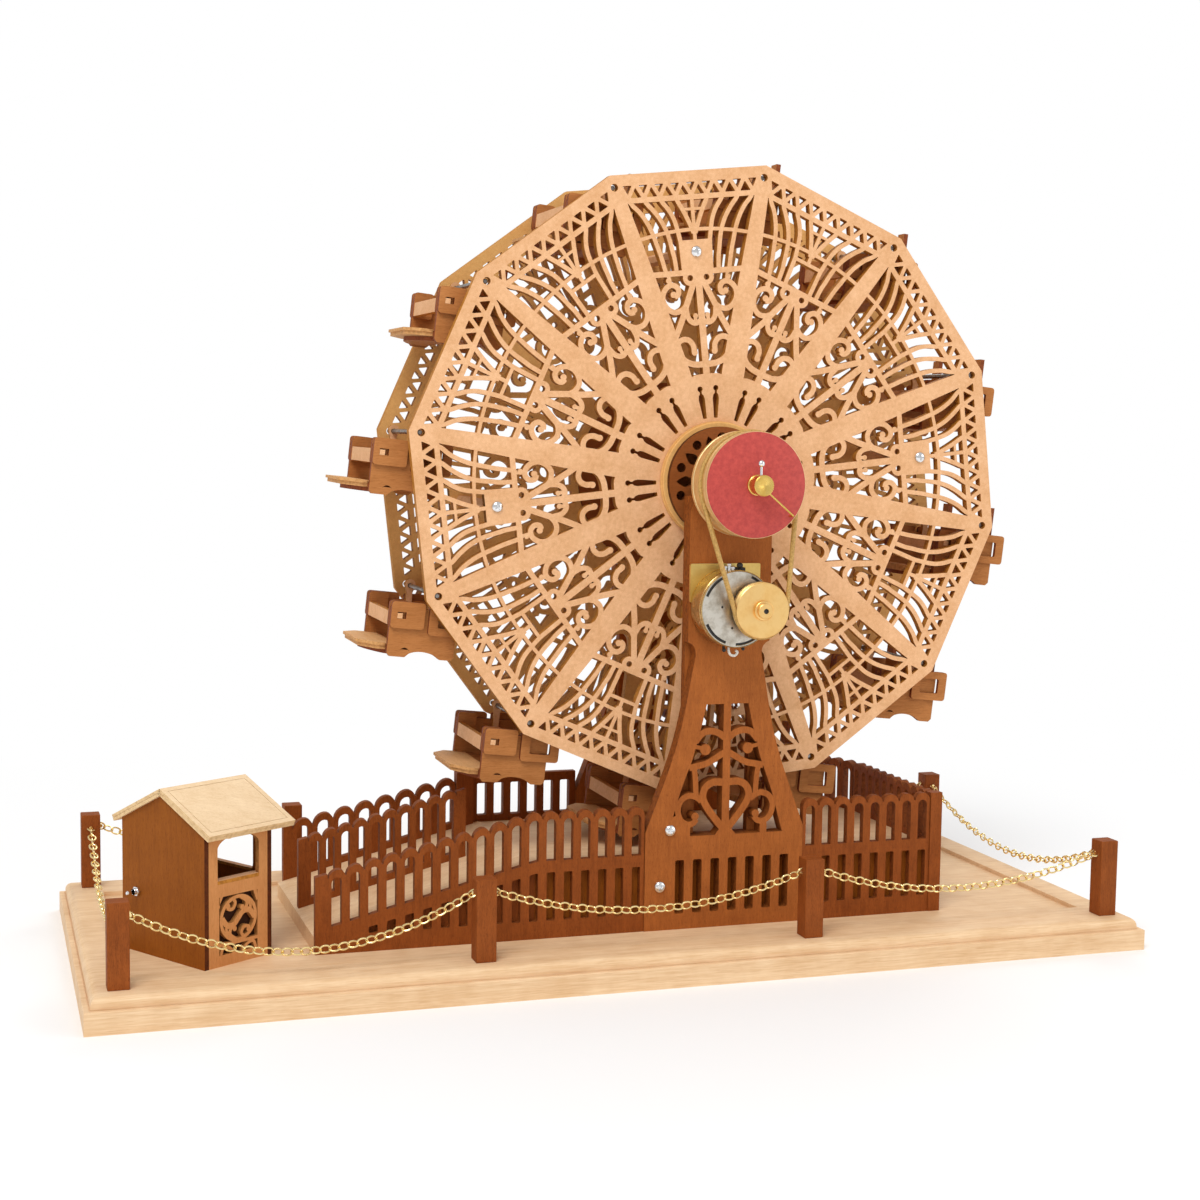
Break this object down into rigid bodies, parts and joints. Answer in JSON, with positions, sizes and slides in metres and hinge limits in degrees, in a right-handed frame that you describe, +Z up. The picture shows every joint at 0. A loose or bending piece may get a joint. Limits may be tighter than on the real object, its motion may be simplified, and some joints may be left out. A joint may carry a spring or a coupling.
{
  "type": "motorised Ferris wheel model",
  "caption": "Table model of a Ferris wheel cut from thin boards: pierced discs with hanging gondolas, a belt drive, picket fences, a ticket booth and a chain barrier on a base board.",
  "frame": {"origin": "centre of the underside of the base board", "axes": "+X along the base board from the booth to the wheel, +Y from the drive side to the rear, +Z up"},
  "size_m": [0.69, 0.292, 0.5203],
  "materials": {
    "pale_maple": "satin",
    "tan_ply": "matte",
    "mid_ply": "matte",
    "brown_ply": "satin",
    "dark_ply": "matte",
    "brass_chain": "polished",
    "brass": "satin",
    "pulley_brass": "satin",
    "rod_steel": "satin",
    "switch_metal": "polished",
    "motor_metal": "brushed",
    "belt": "matte"
  },
  "bodies": {
    "stand": {"base_board": "pale_maple", "deck": "pale_maple", "entry_ramp": "pale_maple", "fence_front_left": "brown_ply", "fence_front_right": "brown_ply", "fence_middle": "brown_ply", "fence_rear": "brown_ply", "fence_right_end": "brown_ply", "fence_backing": "dark_ply", "front_tower": "brown_ply", "rear_tower": "brown_ply", "chain_posts": "brown_ply", "barrier_chain": "brass_chain", "booth_walls": "brown_ply", "booth_roof": "pale_maple", "booth_counters": "tan_ply", "switch_body": "switch_metal", "motor_bracket": "brass", "motor_can": "motor_metal", "drive_belt": "belt"},
    "wheel": {"wheel_disc_front": "tan_ply", "wheel_disc_rear": "tan_ply", "hub_rosettes": "mid_ply", "hub_rings": "tan_ply", "gondola_rods": "rod_steel", "tie_spacers": "tan_ply", "axle": "rod_steel", "drive_pulley": "pulley_brass", "pulley_hub": "brass", "drive_wire": "brass"},
    "gondola_01": {"gondola_01_frame": "mid_ply", "gondola_01_boards": "tan_ply"},
    "gondola_02": {"gondola_02_frame": "mid_ply", "gondola_02_boards": "tan_ply"},
    "gondola_03": {"gondola_03_frame": "mid_ply", "gondola_03_boards": "tan_ply"},
    "gondola_04": {"gondola_04_frame": "mid_ply", "gondola_04_boards": "tan_ply"},
    "gondola_05": {"gondola_05_frame": "mid_ply", "gondola_05_boards": "tan_ply"},
    "gondola_06": {"gondola_06_frame": "mid_ply", "gondola_06_boards": "tan_ply"},
    "gondola_07": {"gondola_07_frame": "mid_ply", "gondola_07_boards": "tan_ply"},
    "gondola_08": {"gondola_08_frame": "mid_ply", "gondola_08_boards": "tan_ply"},
    "gondola_09": {"gondola_09_frame": "mid_ply", "gondola_09_boards": "tan_ply"},
    "gondola_10": {"gondola_10_frame": "mid_ply", "gondola_10_boards": "tan_ply"},
    "gondola_11": {"gondola_11_frame": "mid_ply", "gondola_11_boards": "tan_ply"},
    "gondola_12": {"gondola_12_frame": "mid_ply", "gondola_12_boards": "tan_ply"},
    "motor_pulley": {"motor_pulley": "brass"},
    "switch_lever": {"switch_lever": "switch_metal"}
  },
  "joints": [
    {"name": "wheel_spin", "type": "hinge", "parent": "stand", "child": "wheel", "pos_m": [0.067, 0, 0.31], "axis": [0, 1, 0], "continuous": true},
    {"name": "gondola_01_swing", "type": "hinge", "parent": "wheel", "child": "gondola_01", "pos_m": [0.25401, 0, 0.38367], "axis": [0, 1, 0], "continuous": true},
    {"name": "gondola_02_swing", "type": "hinge", "parent": "wheel", "child": "gondola_02", "pos_m": [0.19212, 0, 0.4673], "axis": [0, 1, 0], "continuous": true},
    {"name": "gondola_03_swing", "type": "hinge", "parent": "wheel", "child": "gondola_03", "pos_m": [0.09671, 0, 0.50879], "axis": [0, 1, 0], "continuous": true},
    {"name": "gondola_04_swing", "type": "hinge", "parent": "wheel", "child": "gondola_04", "pos_m": [-0.00667, 0, 0.49701], "axis": [0, 1, 0], "continuous": true},
    {"name": "gondola_05_swing", "type": "hinge", "parent": "wheel", "child": "gondola_05", "pos_m": [-0.0903, 0, 0.43512], "axis": [0, 1, 0], "continuous": true},
    {"name": "gondola_06_swing", "type": "hinge", "parent": "wheel", "child": "gondola_06", "pos_m": [-0.13179, 0, 0.33971], "axis": [0, 1, 0], "continuous": true},
    {"name": "gondola_07_swing", "type": "hinge", "parent": "wheel", "child": "gondola_07", "pos_m": [-0.12001, 0, 0.23633], "axis": [0, 1, 0], "continuous": true},
    {"name": "gondola_08_swing", "type": "hinge", "parent": "wheel", "child": "gondola_08", "pos_m": [-0.05813, 0, 0.1527], "axis": [0, 1, 0], "continuous": true},
    {"name": "gondola_09_swing", "type": "hinge", "parent": "wheel", "child": "gondola_09", "pos_m": [0.03729, 0, 0.11121], "axis": [0, 1, 0], "continuous": true},
    {"name": "gondola_10_swing", "type": "hinge", "parent": "wheel", "child": "gondola_10", "pos_m": [0.14067, 0, 0.12299], "axis": [0, 1, 0], "continuous": true},
    {"name": "gondola_11_swing", "type": "hinge", "parent": "wheel", "child": "gondola_11", "pos_m": [0.2243, 0, 0.18488], "axis": [0, 1, 0], "continuous": true},
    {"name": "gondola_12_swing", "type": "hinge", "parent": "wheel", "child": "gondola_12", "pos_m": [0.26579, 0, 0.28029], "axis": [0, 1, 0], "continuous": true},
    {"name": "motor_pulley_spin", "type": "hinge", "parent": "stand", "child": "motor_pulley", "pos_m": [0.077, -0.108, 0.23], "axis": [0, 1, 0], "continuous": true},
    {"name": "switch_tilt", "type": "hinge", "parent": "stand", "child": "switch_lever", "pos_m": [-0.30639, -0.04102, 0.056], "axis": [-0.5373, 0.8434, 0], "range_deg": [-12, 12]}
  ],
  "couplings": [
    {"joint": "gondola_01_swing", "follows": "wheel_spin", "ratio": -1},
    {"joint": "gondola_02_swing", "follows": "wheel_spin", "ratio": -1},
    {"joint": "gondola_03_swing", "follows": "wheel_spin", "ratio": -1},
    {"joint": "gondola_04_swing", "follows": "wheel_spin", "ratio": -1},
    {"joint": "gondola_05_swing", "follows": "wheel_spin", "ratio": -1},
    {"joint": "gondola_06_swing", "follows": "wheel_spin", "ratio": -1},
    {"joint": "gondola_07_swing", "follows": "wheel_spin", "ratio": -1},
    {"joint": "gondola_08_swing", "follows": "wheel_spin", "ratio": -1},
    {"joint": "gondola_09_swing", "follows": "wheel_spin", "ratio": -1},
    {"joint": "gondola_10_swing", "follows": "wheel_spin", "ratio": -1},
    {"joint": "gondola_11_swing", "follows": "wheel_spin", "ratio": -1},
    {"joint": "gondola_12_swing", "follows": "wheel_spin", "ratio": -1},
    {"joint": "motor_pulley_spin", "follows": "wheel_spin", "ratio": 1.8971}
  ]
}
